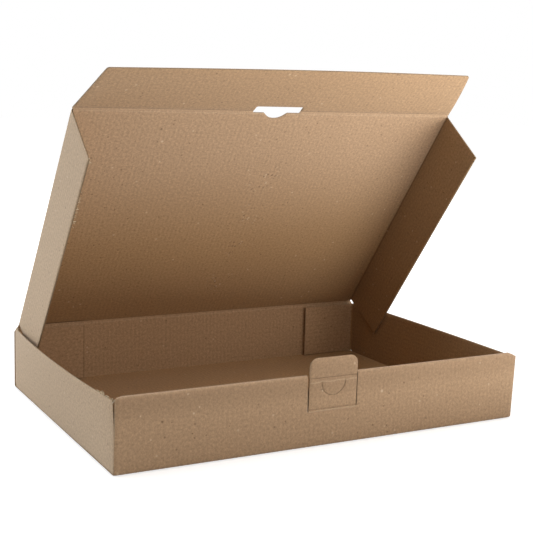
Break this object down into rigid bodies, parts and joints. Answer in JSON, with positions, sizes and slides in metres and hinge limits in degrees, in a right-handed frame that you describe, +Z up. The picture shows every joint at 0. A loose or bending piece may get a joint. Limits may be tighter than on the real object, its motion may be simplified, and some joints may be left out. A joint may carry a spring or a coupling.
{
  "type": "mailer box",
  "caption": "Folded corrugated mailer box, lid half open, with a tuck flap, side flaps, a locking tongue and the slot that takes it.",
  "frame": {"origin": "on the table, under the middle of the tray's base", "axes": "+X to the right along the front wall, +Y from the front wall to the back wall that carries the lid, +Z up"},
  "size_m": [0.3114, 0.2154, 0.2409],
  "materials": {
    "kraft_board": "matte brown kraft liner on fine corrugated board"
  },
  "bodies": {
    "tray": {"tray": "kraft_board"},
    "lid": {"lid": "kraft_board"},
    "tuck_flap": {"tuck_flap": "kraft_board"},
    "locking_tongue": {"locking_tongue": "kraft_board"},
    "tongue_tip": {"tongue_tip": "kraft_board"}
  },
  "joints": [
    {"name": "lid_hinge", "type": "hinge", "parent": "tray", "child": "lid", "pos_m": [0, 0.107, 0.0468], "axis": [-1, 0, 0], "range_deg": [-52.1, 126.9]},
    {"name": "tuck_fold", "type": "hinge", "parent": "lid", "child": "tuck_flap", "pos_m": [0, -0.01948, 0.21525], "axis": [-1, 0, 0], "range_deg": [-77.7, 19.3]},
    {"name": "tongue_fold", "type": "hinge", "parent": "tray", "child": "locking_tongue", "pos_m": [-0.0006, -0.107, 0.0242], "axis": [1, 0, 0], "range_deg": [0, 90]},
    {"name": "tip_fold", "type": "hinge", "parent": "locking_tongue", "child": "tongue_tip", "pos_m": [-0.0006, -0.107, 0.0455], "axis": [1, 0, 0], "range_deg": [-90, 0]}
  ]
}
